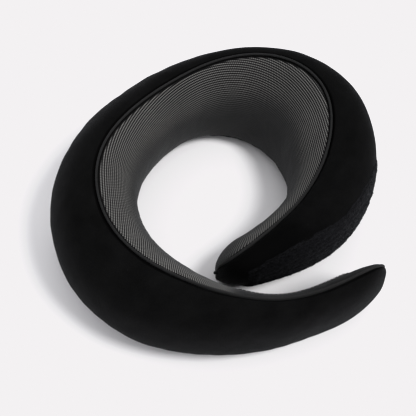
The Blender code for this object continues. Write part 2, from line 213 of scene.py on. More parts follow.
class Layer:
    """Points of the shell or of the neck panel: their places, angles and distances to the seams."""

    def __init__(self, rows, edges, shares):
        """edges holds the angles of its lines, low to high, and shares how far across the span
        between two of them each column lies, by length."""
        angles, distances = [], []
        for low, high, places in zip(edges, edges[1:], shares):
            fine = low[:, None] + (high - low)[:, None] * np.linspace(0, 1, 161)
            steps = np.linalg.norm(np.diff(surface(rows[:, None], fine), axis=1), axis=2)
            lengths = np.concatenate([np.zeros((len(rows), 1)), np.cumsum(steps, 1)], 1)
            across = places * lengths[:, -1:]
            read = np.array([np.interp(d, g, a) for d, g, a in zip(across, lengths, fine)])
            before = distances[-1][:, -1:] if distances else 0
            first = 1 if distances else 0
            angles.append(read[:, first:])
            distances.append(before + across[:, first:])
        self.rows = rows
        self.angles = np.concatenate(angles, 1)
        self.from_first = np.concatenate(distances, 1)
        self.whole = self.from_first[:, -1:]
        self.from_last = self.whole - self.from_first
        self.along = np.broadcast_to(rows[:, None], self.angles.shape)

    def faces_at(self, lift, thickness):
        """The layer's outer and inner points, raised by lift along the skin's normals."""
        base = surface(self.along, self.angles)
        out = normals(self.along, self.angles)
        outer = base + out * lift[..., None]
        inner = base + out * (lift - thickness)[..., None]
        outer[..., 2] = np.maximum(outer[..., 2], 0)
        inner[..., 2] = np.maximum(inner[..., 2], np.minimum(base[..., 2], 0) + 0.3 * MM)
        return outer, inner


def evenly(count):
    return np.linspace(0, 1, count + 1)


def crowded(count, length):
    """Even cells, with the first two parted again where the cloth rounds into the seam."""
    return np.concatenate([np.linspace(0, 4 * MM / length, 9), evenly(count)[3:]])


SHELL_CELL = 1.9 * MM
SHELL_WIDTHS = (30 * MM, 17 * MM, 84 * MM)  # below the zip's opening, beside it, above it
BELOW_ZIP, BESIDE_ZIP, ABOVE_ZIP = (round(width / SHELL_CELL) for width in SHELL_WIDTHS)


def window_edges(rows):
    """Angles of the lower and the upper edge of the zip's opening."""
    low = angle_at_height(ZIP_WINDOW[0], rows, -0.93, -0.8)
    return low, angle_at_height(ZIP_WINDOW[1], rows, -0.76, -0.3)


def shell_layer(rows):
    """The black shell, from the bottom seam over the outside to the top seam."""
    low = np.full(len(rows), BOTTOM_SEAM - 2 * math.pi)
    edges = (low, *window_edges(rows), TOP_SEAM(share_at(rows)))
    below = crowded(BELOW_ZIP, SHELL_WIDTHS[0])
    above = 1 - crowded(ABOVE_ZIP, SHELL_WIDTHS[2])[::-1]
    return Layer(rows, edges, [below, evenly(BESIDE_ZIP), above])


PANEL_FINE = 0.27 * MM  # cells near the top seam, where the ribs stand up, and below
PANEL_COARSE = 0.8 * MM
PANEL_BLOCK = 5  # columns of the outer face to each one of the inner face


def panel_layer(rows):
    """The knit on the neck side, from the top seam down to the bottom seam."""
    top = TOP_SEAM(share_at(rows))
    low = np.full(len(rows), BOTTOM_SEAM)
    upper = round(62 * MM / PANEL_FINE / PANEL_BLOCK) * PANEL_BLOCK
    lower = round(50 * MM / PANEL_COARSE / PANEL_BLOCK) * PANEL_BLOCK
    shares = np.concatenate([np.linspace(0, 0.58, upper + 1), np.linspace(0.58, 1, lower + 1)[1:]])
    return Layer(rows, (top, low), [shares])


# ---- Meshes ----


def add(name, data):
    made = bpy.data.objects.new(name, data)
    bpy.context.scene.collection.objects.link(made)
    return made


def mesh_object(name, vertices, faces, slot, values=None, sharp=80):
    """A piece of a slot's material; values are attributes of its points."""
    mesh = bpy.data.meshes.new(name)
    mesh.from_pydata([tuple(v) for v in vertices], [], faces)
    mesh.validate()
    for key, value in (values or {}).items():
        kind, field = ("FLOAT", "value") if np.ndim(value) == 1 else ("FLOAT_VECTOR", "vector")
        made = mesh.attributes.new(key, kind, "POINT")
        made.data.foreach_set(field, np.asarray(value, np.float32).ravel())
    mesh.shade_smooth()
    if sharp:
        mesh.set_sharp_from_angle(angle=math.radians(sharp))
    made = add(name, mesh)
    if slot:
        mesh.materials.append(materials[slot])
    return made


def without_repeats(corners):
    kept = [c for i, c in enumerate(corners) if c != corners[i - 1]]
    return kept if len(set(kept)) == len(kept) > 2 else None


def backed_sheet(name, outer, inner, slot, values, every=1, left_out=()):
    """Closed cloth between an outer grid and an inner one, which has every so many columns.

    A row whose points all coincide is one point, the tip of an arm."""
    rows, columns = outer.shape[:2]
    blocks = (columns - 1) // every
    inner = inner[:, ::every]
    out = np.arange(rows * columns).reshape(rows, columns)
    inn = rows * columns + np.arange(rows * (blocks + 1)).reshape(rows, blocks + 1)
    for i in (0, rows - 1):
        if np.ptp(outer[i], axis=0).max() < 1e-5:
            out[i] = out[i, 0]
            inn[i] = inn[i, 0]
    cells = {(i, k) for i in range(rows - 1) for k in range(blocks)} - set(left_out)
    faces = []
    for i, k in sorted(cells):
        for c in range(k * every, (k + 1) * every):
            faces.append([out[i, c], out[i + 1, c], out[i + 1, c + 1], out[i, c + 1]])
        faces.append([inn[i, k], inn[i, k + 1], inn[i + 1, k + 1], inn[i + 1, k]])
        a, b = k * every, (k + 1) * every
        sides = (
            ((i - 1, k), [*out[i, a : b + 1], inn[i, k + 1], inn[i, k]]),
            ((i + 1, k), [*out[i + 1, a : b + 1][::-1], inn[i + 1, k], inn[i + 1, k + 1]]),
            ((i, k - 1), [out[i + 1, a], out[i, a], inn[i, k], inn[i + 1, k]]),
            ((i, k + 1), [out[i, b], out[i + 1, b], inn[i + 1, k + 1], inn[i, k + 1]]),
        )
        faces += [side for neighbour, side in sides if neighbour not in cells]
    faces = [f for f in map(without_repeats, (list(map(int, f)) for f in faces)) if f]
    vertices = np.concatenate([outer.reshape(-1, 3), inner.reshape(-1, 3)])
    used = np.zeros(len(vertices), bool)
    used[[v for f in faces for v in f]] = True
    index = np.cumsum(used) - 1
    faces = [[int(index[v]) for v in f] for f in faces]
    both = {}
    for key, value in values.items():
        ends = value.shape[2:]
        sides = [value.reshape(-1, *ends), value[:, ::every].reshape(-1, *ends)]
        both[key] = np.concatenate(sides)[used]
    return mesh_object(name, vertices[used], faces, slot, both)


def ring_faces(rings, sides):
    """Faces of a tube of points, ring after ring, closed at both ends."""
    faces = []
    for i in range(rings - 1):
        for k in range(sides):
            a, b = i * sides + k, i * sides + (k + 1) % sides
            faces.append([a, b, b + sides, a + sides])
    faces.append(list(range(sides))[::-1])
    faces.append([(rings - 1) * sides + k for k in range(sides)])
    return faces


def tube_mesh(points, radii, sides, reference, keel=1.0):
    """Vertices and faces of a tube; reference holds its upward direction at each ring. With a
    keel its lower half runs down to a narrow flange, so many radii deep."""
    tangent = unit(np.gradient(points, axis=0))
    side = unit(np.cross(tangent, reference))
    up = np.cross(side, tangent)
    turn = np.linspace(0, 2 * math.pi, sides, endpoint=False)
    below = np.clip(-np.sin(turn), 0, 1) if keel > 1 else 0 * turn
    rise = np.sin(turn) * (1 + (keel - 1) * below)
    width = np.cos(turn) * (1 - 0.6 * below)
    ring = width[:, None, None] * side + rise[:, None, None] * up
    vertices = (points + ring * radii[:, None]).transpose(1, 0, 2).reshape(-1, 3)
    return vertices, ring_faces(len(points), sides)


# ---- Relief of the fabric ----


def ripples(along, across, wave, seed, count=14):
    """Smooth unevenness of about one wavelength, from -1 to 1: a sum of sines in all directions."""
    draw = np.random.default_rng(seed)
    total = np.zeros(np.broadcast(along, across).shape)
    for _ in range(count):
        turn, phase = draw.uniform(0, 2 * math.pi, 2)
        length = wave * draw.uniform(0.7, 1.5)
        place = along * math.cos(turn) + across * math.sin(turn)
        total += np.sin(2 * math.pi * place / length + phase)
    return total / math.sqrt(2 * count)


def dip(distance, depth, reach):
    return -depth * np.exp(-((distance / reach) ** 2))


def seam_groove(distance):
    """The cloth rounds down into the seam, beside the piping."""
    return dip(distance, 1.5 * MM, 1.5 * MM) + dip(distance, 0.6 * MM, 5 * MM)


def puckers(along, distance, seed):
    """Short gathers that run away from a seam, from -1 to 1."""
    sideways = ripples(along, 0.25 * distance, 7 * MM, seed)
    return sideways * np.exp(-distance / (8 * MM)) * (1 - np.exp(-distance / (1.5 * MM)))


def smooth(value, low, high):
    t = np.clip((value - low) / (high - low), 0, 1)
    return t * t * (3 - 2 * t)


SWELL_ROW = 5 * MM  # grid of the cloth simulation
SWELL_CELLS = 24  # on each side of the seams
SWELL_CAP = 0.3 * MM
FOAM_HOLD = 0.3  # how firmly the foam inside holds the cover to its shape
SEAM_HOLD = 0.5
CLOTH = {
    "quality": 6, "mass": 0.3, "tension_stiffness": 12, "compression_stiffness": 12,
    "shear_stiffness": 4, "bending_stiffness": 0.05, "use_pressure": True,
    "uniform_pressure_force": 3, "vertex_group_mass": "stuffing", "pin_stiffness": 1,
    "vertex_group_shrink": "seams", "shrink_min": -0.02, "shrink_max": 0.06,
}


def averaged(table, passes):
    """The table without its fine detail; its columns close into a ring."""
    for _ in range(passes):
        ends = np.concatenate([table[:1], table, table[-1:]])
        table = (ends[:-2] + 2 * ends[1:-1] + ends[2:]) / 4
        table = (np.roll(table, 1, 1) + 2 * table + np.roll(table, -1, 1)) / 4
    return table


def simulate_cover():
    """Blows the whole cover up against its seams. Returns how far each point of the coarse grid
    bulges: one table for the shell, bottom seam to top seam, and one for the neck panel."""
    rows = np.arange(SWELL_ROW, LENGTH, SWELL_ROW)
    low = np.full(len(rows), BOTTOM_SEAM - 2 * math.pi)
    top = TOP_SEAM(share_at(rows))
    shell = Layer(rows, (low, top), [evenly(SWELL_CELLS)])
    panel = Layer(rows, (top, low + 2 * math.pi), [evenly(SWELL_CELLS)])
    angles = np.concatenate([shell.angles[:, :-1], panel.angles[:, :-1]], 1)
    ring = angles.shape[1]
    along = np.broadcast_to(rows[:, None], angles.shape)
    rest = surface(along, angles)
    out = normals(along, angles)
    vertices = np.concatenate([rest.reshape(-1, 3), surface(0, 0)[None], surface(LENGTH, 0)[None]])
    index = np.arange(len(rows) * ring).reshape(len(rows), ring)
    faces = []
    for k in range(ring):
        after = (k + 1) % ring
        faces += [
            [index[i, k], index[i + 1, k], index[i + 1, after], index[i, after]]
            for i in range(len(rows) - 1)
        ]
        faces.append([len(vertices) - 2, index[0, k], index[0, after]])
        faces.append([len(vertices) - 1, index[-1, after], index[-1, k]])
    faces = [[int(v) for v in face] for face in faces]
    cover = mesh_object("cover_simulation", vertices, faces, None, sharp=0)
    sewn = [int(v) for k in (0, SWELL_CELLS) for v in index[:, k]]
    seams = cover.vertex_groups.new(name="seams")
    seams.add(sewn, 1.0, "ADD")
    stuffing = cover.vertex_groups.new(name="stuffing")
    stuffing.add(list(range(len(vertices))), FOAM_HOLD, "ADD")
    stuffing.add(sewn, SEAM_HOLD, "REPLACE")
    cloth = cover.modifiers.new("cloth", "CLOTH")
    for key, value in CLOTH.items():
        setattr(cloth.settings, key, value)
    cloth.settings.effector_weights.gravity = 0
    cloth.collision_settings.use_collision = False
    scene = bpy.context.scene
    for step in range(1, 21):
        scene.frame_set(step)
    evaluated = cover.evaluated_get(bpy.context.evaluated_depsgraph_get())
    moved = np.array([v.co for v in evaluated.data.vertices])[: len(rows) * ring]
    scene.frame_set(1)
    bpy.data.objects.remove(cover)
    swell = ((moved.reshape(rest.shape) - rest) * out).sum(-1)
    swell -= averaged(swell, 24)
    swell = SWELL_CAP * np.tanh(swell / SWELL_CAP)
    around = np.concatenate([swell, swell[:, :1]], 1)
    return rows, around[:, : SWELL_CELLS + 1], around[:, SWELL_CELLS:]


def read_table(rows, table, along, share):
    """A table of the coarse grid, read smoothly at places along and shares across."""
    i = np.clip(np.interp(along, rows, np.arange(len(rows))), 0, len(rows) - 1.001)
    k = np.clip(share * SWELL_CELLS, 0, SWELL_CELLS - 0.001)
    result = 0
    for a in range(-1, 3):
        for b in range(-1, 3):
            row = np.clip(np.floor(i).astype(int) + a, 0, len(rows) - 1)
            column = np.clip(np.floor(k).astype(int) + b, 0, SWELL_CELLS)
            weight = cubic_weight(i - np.floor(i) - a) * cubic_weight(k - np.floor(k) - b)
            result = result + weight * table[row, column]
    return result


def cubic_weight(t):
    """Weight of a grid point at distance t in a B-spline, which is smooth in both directions."""
    t = np.abs(t)
    near = 2 / 3 - t * t + t**3 / 2
    far = (2 - t) ** 3 / 6
    return np.where(t < 1, near, np.where(t < 2, far, 0))


# ---- Materials ----

materials = {}  # by name, which is also the slot of the pieces made of it


class Shader:
    """A Principled material, with short calls for its nodes."""

    def __init__(self, name, colour, roughness, **sockets):
        materials[name] = bpy.data.materials.new(name)
        materials[name].use_nodes = True
        self.tree = materials[name].node_tree
        self.main = self.tree.nodes["Principled BSDF"]
        self.main.inputs["Base Color"].default_value = (*colour, 1)
        self.main.inputs["Roughness"].default_value = roughness
        for key, value in sockets.items():
            self.main.inputs[key.replace("_", " ")].default_value = value

    def node(self, kind, inputs=(), **settings):
        made = self.tree.nodes.new("ShaderNode" + kind)
        for key, value in settings.items():
            setattr(made, key, value)
        for key, value in dict(inputs).items():
            socket = made.inputs[key]
            if isinstance(value, bpy.types.NodeSocket):
                self.tree.links.new(value, socket)
            else:
                socket.default_value = value
        return made

    def attribute(self, name):
        made = self.node("Attribute", attribute_name=name)
        return made.outputs["Vector" if name == "cloth" else "Fac"]

    def math(self, operation, first, second=0.0, third=0.0):
        return self.node("Math", {0: first, 1: second, 2: third}, operation=operation).outputs[0]

    def plus(self, first, second):
        return self.math("ADD", first, second)

    def minus(self, first, second):
        return self.math("SUBTRACT", first, second)

    def times(self, first, second, plus=None):
        if plus is None:
            return self.math("MULTIPLY", first, second)
        return self.math("MULTIPLY_ADD", first, second, plus)

    def noise(self, vector, scale, detail=2.0, roughness=0.5):
        inputs = {"Vector": vector, "Scale": scale, "Detail": detail, "Roughness": roughness}
        return self.node("TexNoise", inputs).outputs["Fac"]

    def wave(self, value, period):
        """A ripple from 0 to 1 of a coordinate in metres."""
        turned = self.times(value, 2 * math.pi / period)
        return self.times(self.math("SINE", turned), 0.5, 0.5)

    def parts(self, vector):
        return self.node("SeparateXYZ", {"Vector": vector}).outputs

    def link(self, output, socket):
        self.tree.links.new(output, self.main.inputs[socket])

    def colour(self, value, *stops):
        """The base colour, a ramp of a value between stops."""
        made = self.node("ValToRGB", {"Fac": value})
        elements = made.color_ramp.elements
        while len(elements) < len(stops):
            elements.new(0.5)
        for element, (place, colour) in zip(elements, stops):
            element.position = place
            element.color = (*colour, 1)
        self.link(made.outputs["Color"], "Base Color")

    def sheen(self, weight, dark):
        """Sheen of a weight, less where the attribute dark is high."""
        left = self.math("MAXIMUM", self.minus(1.0, dark), 0.0)
        self.link(self.times(left, weight), "Sheen Weight")

    def bump(self, height, distance, strength=1.0):
        inputs = {"Height": height, "Distance": distance, "Strength": strength}
        self.link(self.node("Bump", inputs).outputs["Normal"], "Normal")


def grey(value, blue=1.0):
    return (value, value, value * blue)


JERSEY_SHEEN = 0.026
KNIT_SHEEN = 0.06


def jersey_material():
    """Fine black jersey: columns of small stitches, brushed, with a faint cool sheen."""
    s = Shader(
        "black_jersey", grey(0.004), 0.9, Sheen_Weight=JERSEY_SHEEN, Sheen_Roughness=0.35,
        Sheen_Tint=(0.90, 0.93, 1.0, 1.0), Specular_IOR_Level=0.03,
    )
    cloth = s.attribute("cloth")
    along, across, _ = s.parts(cloth)
    stitches = s.times(s.wave(along, 0.9 * MM), s.wave(across, 0.7 * MM))
    fuzz = s.noise(cloth, 1400, 3)
    mottled = s.noise(cloth, 60, 4, 0.6)
    lint = s.math("GREATER_THAN", s.noise(cloth, 330, 1), 0.80)
    tone = s.times(fuzz, 0.5, s.times(mottled, 0.6))
    tone = s.times(lint, 0.25, tone)
    # dark: painted shade beside the top seam's piping, and darker towards the short arm's tip
    dark = s.attribute("dark")
    tone = s.minus(tone, dark)
    s.colour(tone, (0.3, grey(0.0008)), (0.75, grey(0.0038)), (1.0, grey(0.03)))
    s.sheen(JERSEY_SHEEN, dark)
    height = s.plus(s.times(stitches, 0.5), fuzz)
    s.bump(height, 0.25 * MM, 0.8)


def knit_material():
    """Grey ribbed knit: pale ribs of stitches, like strings of beads, over a dark ground. From rib
    to rib the stitches step on by half their length."""
    s = Shader(
        "grey_ribbed_knit", grey(0.10), 0.85, Sheen_Weight=KNIT_SHEEN, Sheen_Roughness=0.4,
        Sheen_Tint=(0.95, 0.97, 1.0, 1.0), Specular_IOR_Level=0.05,
    )
    cloth = s.attribute("cloth")
    rib_place = s.attribute("rib_place")
    rib = s.wave(rib_place, RIB_PITCH)
    # rib_contrast: partly painted light, fading the ribs' colour contrast down the wall
    contrast = s.attribute("rib_contrast")
    step_on = s.times(rib_place, 0.5 * KNIT_STITCH / RIB_PITCH)
    slant = s.plus(step_on, s.attribute("stitch_place"))
    stitch = s.wave(slant, KNIT_STITCH)
    yarn = s.noise(cloth, 2200, 2)
    mottled = s.noise(cloth, 45, 3)
    pores = s.minus(0.5, stitch)
    tone = s.times(s.minus(rib, 0.54), contrast, 0.42)
    depth = s.times(contrast, 0.40, 0.05)
    tone = s.minus(tone, s.times(pores, depth))
    tone = s.times(s.minus(yarn, 0.5), 0.30, tone)
    tone = s.times(s.minus(mottled, 0.5), 0.10, tone)
    # dark: the plain band, the darker short tip, and painted shade on the back wall and beside the
    # top seam's piping
    dark = s.attribute("dark")
    tone = s.minus(tone, dark)
    s.sheen(KNIT_SHEEN, dark)
    s.colour(
        tone, (0.05, grey(0.003)), (0.35, grey(0.022)), (0.65, (0.056, 0.055, 0.054)),
        (1.0, (0.175, 0.17, 0.16)),
    )
    s.bump(s.times(pores, -1.0, yarn), 0.25 * MM, 0.7)


def piping_material():
    s = Shader(
        "black_piping", grey(0.014), 0.8, Sheen_Weight=0.03, Sheen_Roughness=0.5,
        Specular_IOR_Level=0.1,
    )
    cloth = s.attribute("cloth")
    along, across, _ = s.parts(cloth)
    slant = s.plus(along, across)
    twill = s.wave(slant, 0.6 * MM)
    s.colour(s.noise(cloth, 900, 3), (0.3, grey(0.007)), (0.7, grey(0.015)))
    s.bump(twill, 0.1 * MM, 0.6)


PILE_SHEEN = 0.03


def pile_material():
    s = Shader(
        "loop_pile", grey(0.006, 1.1), 0.9, Sheen_Weight=PILE_SHEEN, Sheen_Roughness=0.4,
        Sheen_Tint=(0.88, 0.92, 1.0, 1.0), Specular_IOR_Level=0.05,
    )
    cloth = s.attribute("cloth")
    dark = s.attribute("dark")
    tone = s.minus(s.noise(cloth, 500, 4), s.times(dark, 0.4))
    s.colour(tone, (0.2, grey(0.0006, 1.1)), (0.7, grey(0.0085, 1.15)))
    s.sheen(PILE_SHEEN, dark)
    s.bump(s.noise(cloth, 1500, 4), 0.5 * MM, 1.0)


def tape_material():
    """Woven herringbone tape."""
    s = Shader("zip_tape_cloth", grey(0.008), 0.85, Specular_IOR_Level=0.15)
    along, across, _ = s.parts(s.attribute("cloth"))
    fold = s.math("PINGPONG", across, 1.1 * MM)
    weave = s.wave(s.plus(along, fold), 0.55 * MM)
    s.colour(weave, (0.2, grey(0.005)), (0.8, grey(0.014)))
    s.bump(weave, 0.12 * MM, 0.8)


def satin_material():
    """Blank satin: fine bright floats across the ribbon."""
    s = Shader("label_satin", grey(0.6), 0.4, Sheen_Weight=0.2, Specular_IOR_Level=0.5)
    along, across, _ = s.parts(s.attribute("cloth"))
    floats = s.wave(along, 0.35 * MM)
    grain = s.noise(s.attribute("cloth"), 900, 3)
    tone = s.times(floats, 0.4, s.times(grain, 0.6))
    s.colour(tone, (0.2, (0.52, 0.52, 0.50)), (0.8, (0.70, 0.70, 0.68)))
    s.bump(tone, 0.06 * MM, 0.5)


def foam_material():
    s = Shader("memory_foam", (0.75, 0.70, 0.55), 0.9)
    place = s.node("TexCoord").outputs["Object"]
    cells = s.node("TexVoronoi", {"Vector": place, "Scale": 900}).outputs["Distance"]
    s.colour(cells, (0.0, (0.5, 0.45, 0.33)), (0.5, (0.78, 0.73, 0.58)))
    s.bump(cells, 0.4 * MM, 0.6)


def plain_material(name, colour, roughness, **sockets):
    """A small hard part: an even colour with slight handling marks."""
    s = Shader(name, colour, roughness, **sockets)
    place = s.node("TexCoord").outputs["Object"]
    marks = s.noise(place, 1500, 3)
    worn = [tuple(c * f for c in colour) for f in (0.8, 1.25)]
    s.colour(marks, (0.3, worn[0]), (0.7, worn[1]))
    s.link(s.times(marks, 0.15, roughness - 0.07), "Roughness")
    s.bump(marks, 0.03 * MM, 0.3)


# ---- The cover ----

REAR = along_at(REAR_CUT)
SIDE = along_at(SIDE_CUT)
PARTS = {  # where each part of the cover starts and ends, its bend and its body
    "short_side": (0, REAR, SHORT_BEND, "short_arm"),
    "rear": (REAR, SIDE, None, "back"),
    "long_side": (SIDE, LENGTH, LONG_BEND, "long_arm"),
}


def place(piece, body="back", node=None, bend=None):
    """The piece stands for a CAD node, which it hides, and rides on a body; a piece with a bend
    stays unparented, its transform baked in.
    """
    if node:
        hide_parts(node)
    if bend:
        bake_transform(piece)
    else:
        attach(piece, body)


def place_part(piece, part, prefix):
    """Places a part of a layer."""
    bend, body = PARTS[part][2:]
    place(piece, body, prefix + body, bend)


def seamed_relief(layer, rows, table, height, wave, seed):
    """What the shell and the panel share: swell, unevenness, and grooves at both seams."""
    first, last = layer.from_first, layer.from_last
    relief = read_table(rows, table, layer.along, first / np.maximum(layer.whole, 1e-9))
    relief += height * ripples(layer.along, first, wave, seed)
    return relief + (seam_groove(first) + seam_groove(last))


def shell_relief(layer, swell):
    relief = seamed_relief(layer, swell[0], swell[1], 0.35 * MM, 38 * MM, 3)
    gathers = puckers(layer.along, layer.from_last, 5) + puckers(layer.along, layer.from_first, 6)
    return (relief + 0.30 * MM * gathers) * tip_fade(layer.along)


def tip_fade(along):
    return smooth(along, 0, 6 * MM) * smooth(LENGTH - along, 0, 6 * MM)


RIB_PITCH = 1.75 * MM
RIB_HEIGHT = 0.55 * MM
RIBS_END = (545 * MM, 565 * MM)  # the long arm's inner side is plain beyond this
RIB_TURN = math.radians(60)
KNIT_STITCH = 1.5 * MM


def arm_share(along):
    """0 at the back; -1 in the short arm and 1 in the long one."""
    return smooth(along, 400 * MM, 510 * MM) + smooth(along, 50 * MM, 150 * MM) - 1


def rib_directions():
    """The panel is cut from straight cloth. At the back its ribs run along the bottom seam, and in
    the arms they turn towards the top one. Returns places along the spiral and, at the top seam,
    the distances across the ribs and along them."""
    step = 2 * MM
    rows = np.arange(0, LENGTH, step)
    low = np.full(len(rows), BOTTOM_SEAM)
    whole = Layer(rows, (TOP_SEAM(share_at(rows)), low), [evenly(4)]).whole[:, 0]
    narrowing = np.clip(np.gradient(whole, step), -0.3, 0.3)
    turn = RIB_TURN * arm_share(rows)
    across = np.cumsum(np.sin(turn) - np.cos(turn) * narrowing) * step
    return rows, across, np.cumsum(np.cos(turn)) * step


def knit_coordinates(layer):
    """Distances across the ribs and along them."""
    rows, across, forward = rib_directions()
    turn = RIB_TURN * arm_share(layer.along)
    across = np.interp(layer.along, rows, across) + layer.from_first * np.cos(turn)
    forward = np.interp(layer.along, rows, forward) - layer.from_first * np.sin(turn)
    return across, forward


def fade_below(layer):
    """1 at the top seam; less where the stretched knit lies flatter, sooner in the arms. In the
    ribs' colour this fade is painted light: their contrast drops as it does where light falls
    squarely on them.
    """
    arm = np.abs(arm_share(layer.along))
    start, end = (20 - 12 * arm) * MM, (54 - 28 * arm) * MM
    return 1 - 0.92 * smooth(layer.from_first, start, end)


def rib_contrast(layer):
    ends = smooth(layer.along, 4 * MM, 26 * MM) * (1 - smooth(layer.along, *RIBS_END))
    return fade_below(layer) * ends * (1.05 + 0.25 * np.abs(arm_share(layer.along)))


def knit_values(layer):
    across, forward = knit_coordinates(layer)
    contrast, dark = rib_contrast(layer), knit_shade(layer)
    return {"rib_place": across, "stitch_place": forward, "rib_contrast": contrast, "dark": dark}


def knit_shade(layer):
    """How much darker the knit is: plain cloth on the long arm's inner side, darker towards the
    short tip, painted shade that darkens the back's inner wall against the arms, and painted shade
    in the gap beside the top seam's piping."""
    plain = 0.32 * smooth(layer.along, *RIBS_END)
    # Darker towards the short arm's tip
    short_tip_darkening = 0.10 * (1 - smooth(layer.along, 8 * MM, 60 * MM))
    # Painted shade: darker on the back's inner wall and lighter in the arms, for how the light
    # falls on them
    rear = 0.06 * smooth(layer.along, 150 * MM, 190 * MM)
    rear = rear * (1 - smooth(layer.along, 290 * MM, 340 * MM))
    arms = 0.05 * np.abs(arm_share(layer.along))
    return plain + short_tip_darkening + rear - arms + seam_gap_shade(layer.from_first)


def seam_gap_shade(distance):
    """Painted shade: 1 in the dark gap beside the piping, where shade falls into the seam, at a
    distance from the top seam.
    """
    return 1 - smooth(distance, 2.0 * MM, 3.0 * MM)


def darker_to_short_tip(along):
    """How much darker the outside of the short arm is towards its tip."""
    return 0.6 * (1 - smooth(along, 15 * MM, 80 * MM))


def shell_shade(layer):
    # Painted shade in the gap beside the top seam's piping, and darker towards the short arm's tip
    return np.maximum(seam_gap_shade(layer.from_last), darker_to_short_tip(layer.along))


def rib_shape(layer):
    """Height of the ribs about their mean, -0.5 to 0.5, where they run along the seams."""
    height = 0.5 * np.sin(2 * math.pi * knit_coordinates(layer)[0] / RIB_PITCH)
    height = height * rib_contrast(layer) * (1 - smooth(np.abs(arm_share(layer.along)), 0.1, 0.5))
    return height * smooth(layer.from_first, 1 * MM, 4 * MM)


def panel_relief(layer, swell):
    relief = seamed_relief(layer, swell[0], swell[2], 0.25 * MM, 34 * MM, 13)
    return (relief + RIB_HEIGHT * rib_shape(layer)) * tip_fade(layer.along)


def layer_piece(name, layer, lift, thickness, slot, values=None, **more):
    """The cloth of a layer, raised by lift along the skin's normals."""
    outer, inner = layer.faces_at(lift, thickness)
    cloth = np.stack([layer.along, layer.from_first, 0 * layer.along], -1)
    return backed_sheet(name, outer, inner, slot, {"cloth": cloth, **(values or {})}, **more)


FABRIC = 1.0 * MM  # its thickness


def make_cover(swell):
    for part, (start, end, _, _) in PARTS.items():
        rows = rows_between(start, end, 2 * MM)
        rows = with_places(rows, (ZIP_FROM, ZIP_TO))
        shell = shell_layer(rows)
        first = len(crowded(BELOW_ZIP, SHELL_WIDTHS[0])) - 1
        inside = (rows[:-1] >= ZIP_FROM - 1e-9) & (rows[1:] <= ZIP_TO + 1e-9)
        hole = {(i, first + k) for i in np.flatnonzero(inside) for k in range(BESIDE_ZIP)}
        piece = layer_piece(
            "outer_shell_" + part, shell, shell_relief(shell, swell), FABRIC, "black_jersey",
            left_out=hole, values={"dark": shell_shade(shell)},
        )
        place_part(piece, part, "outer_shell_")

        rows = rows_between(start, end, 1.5 * MM)
        panel = panel_layer(rows)
        piece = layer_piece(
            "inner_panel_" + part, panel, panel_relief(panel, swell), FABRIC, "grey_ribbed_knit",
            every=PANEL_BLOCK, values=knit_values(panel),
        )
        place_part(piece, part, "inner_panel_")


def with_places(rows, wanted):
    """The rows, with the nearest one moved to each wanted place between them."""
    rows = rows.copy()
    for place in wanted:
        if rows[0] < place < rows[-1]:
            rows[np.argmin(np.abs(rows - place))] = place
    return rows


FOAM_DEPTH = 3.6 * MM  # below the skin
FOAM_SIDES = 48


def make_foam():
    for part, (start, end, _, _) in PARTS.items():
        rows = rows_between(start, end, 5 * MM)
        angles = np.linspace(0, 2 * math.pi, FOAM_SIDES + 1)[:-1]
        vertices = surface(rows[:, None], angles[None], FOAM_DEPTH).reshape(-1, 3)
        faces = [[f[0], *f[:0:-1]] for f in ring_faces(len(rows), FOAM_SIDES)]
        piece = mesh_object("foam_core_" + part, vertices, faces, "memory_foam", sharp=60)
        bm = bmesh.new()
        bm.from_mesh(piece.data)
        bmesh.ops.remove_doubles(bm, verts=bm.verts, dist=1e-6)
        bm.to_mesh(piece.data)
        bm.free()
        place_part(piece, part, "foam_core_")


PIPING_RADIUS = 0.85 * MM
PIPING_SIDES = 12
PIPING_WRAP = 7.2 * MM  # width of the cloth round the cord


def make_piping():
    """Cords wrapped in a strip of cloth, whose flange goes down between the two fabrics."""
    seams = (("top_piping_", "top", 21, 0.35 * MM), ("bottom_piping_", "bottom", 22, -1.5 * MM))
    for name, seam, seed, proud in seams:
        for part, (start, end, _, _) in PARTS.items():
            rows = rows_between(start, end, 1.2 * MM)
            rows = np.clip(rows, 0.02 * MM, LENGTH - 0.02 * MM)
            angle = TOP_SEAM(share_at(rows)) if seam == "top" else np.full(len(rows), BOTTOM_SEAM)
            sunk = 0.9 * (1 - smooth(rows, 40 * MM, 80 * MM))
            sunk += 1.5 * (1 - smooth(LENGTH - rows, 6 * MM, 24 * MM))
            lift = proud - sunk * MM + 0.1 * MM * ripples(rows, 0, 9 * MM, seed)
            radii = PIPING_RADIUS * (1 + 0.05 * ripples(rows, 0, 5 * MM, seed + 5))
            tips = smooth(rows, 0, 4 * MM) * smooth(LENGTH - rows, 0, 16 * MM)
            radii = radii * (0.4 + 0.6 * tips)
            out = normals(rows, angle)
            points = surface(rows, angle) + out * lift[:, None]
            vertices, faces = tube_mesh(points, radii, PIPING_SIDES, out, keel=2.0)
            around = np.tile(np.linspace(0, PIPING_WRAP, PIPING_SIDES), len(rows))
            cloth = np.stack([np.repeat(rows, PIPING_SIDES), around, 0 * around], 1)
            piece = mesh_object(name + part, vertices, faces, "black_piping", {"cloth": cloth})
            place_part(piece, part, name)


# ---- Threads: small bent tubes, many to a piece ----


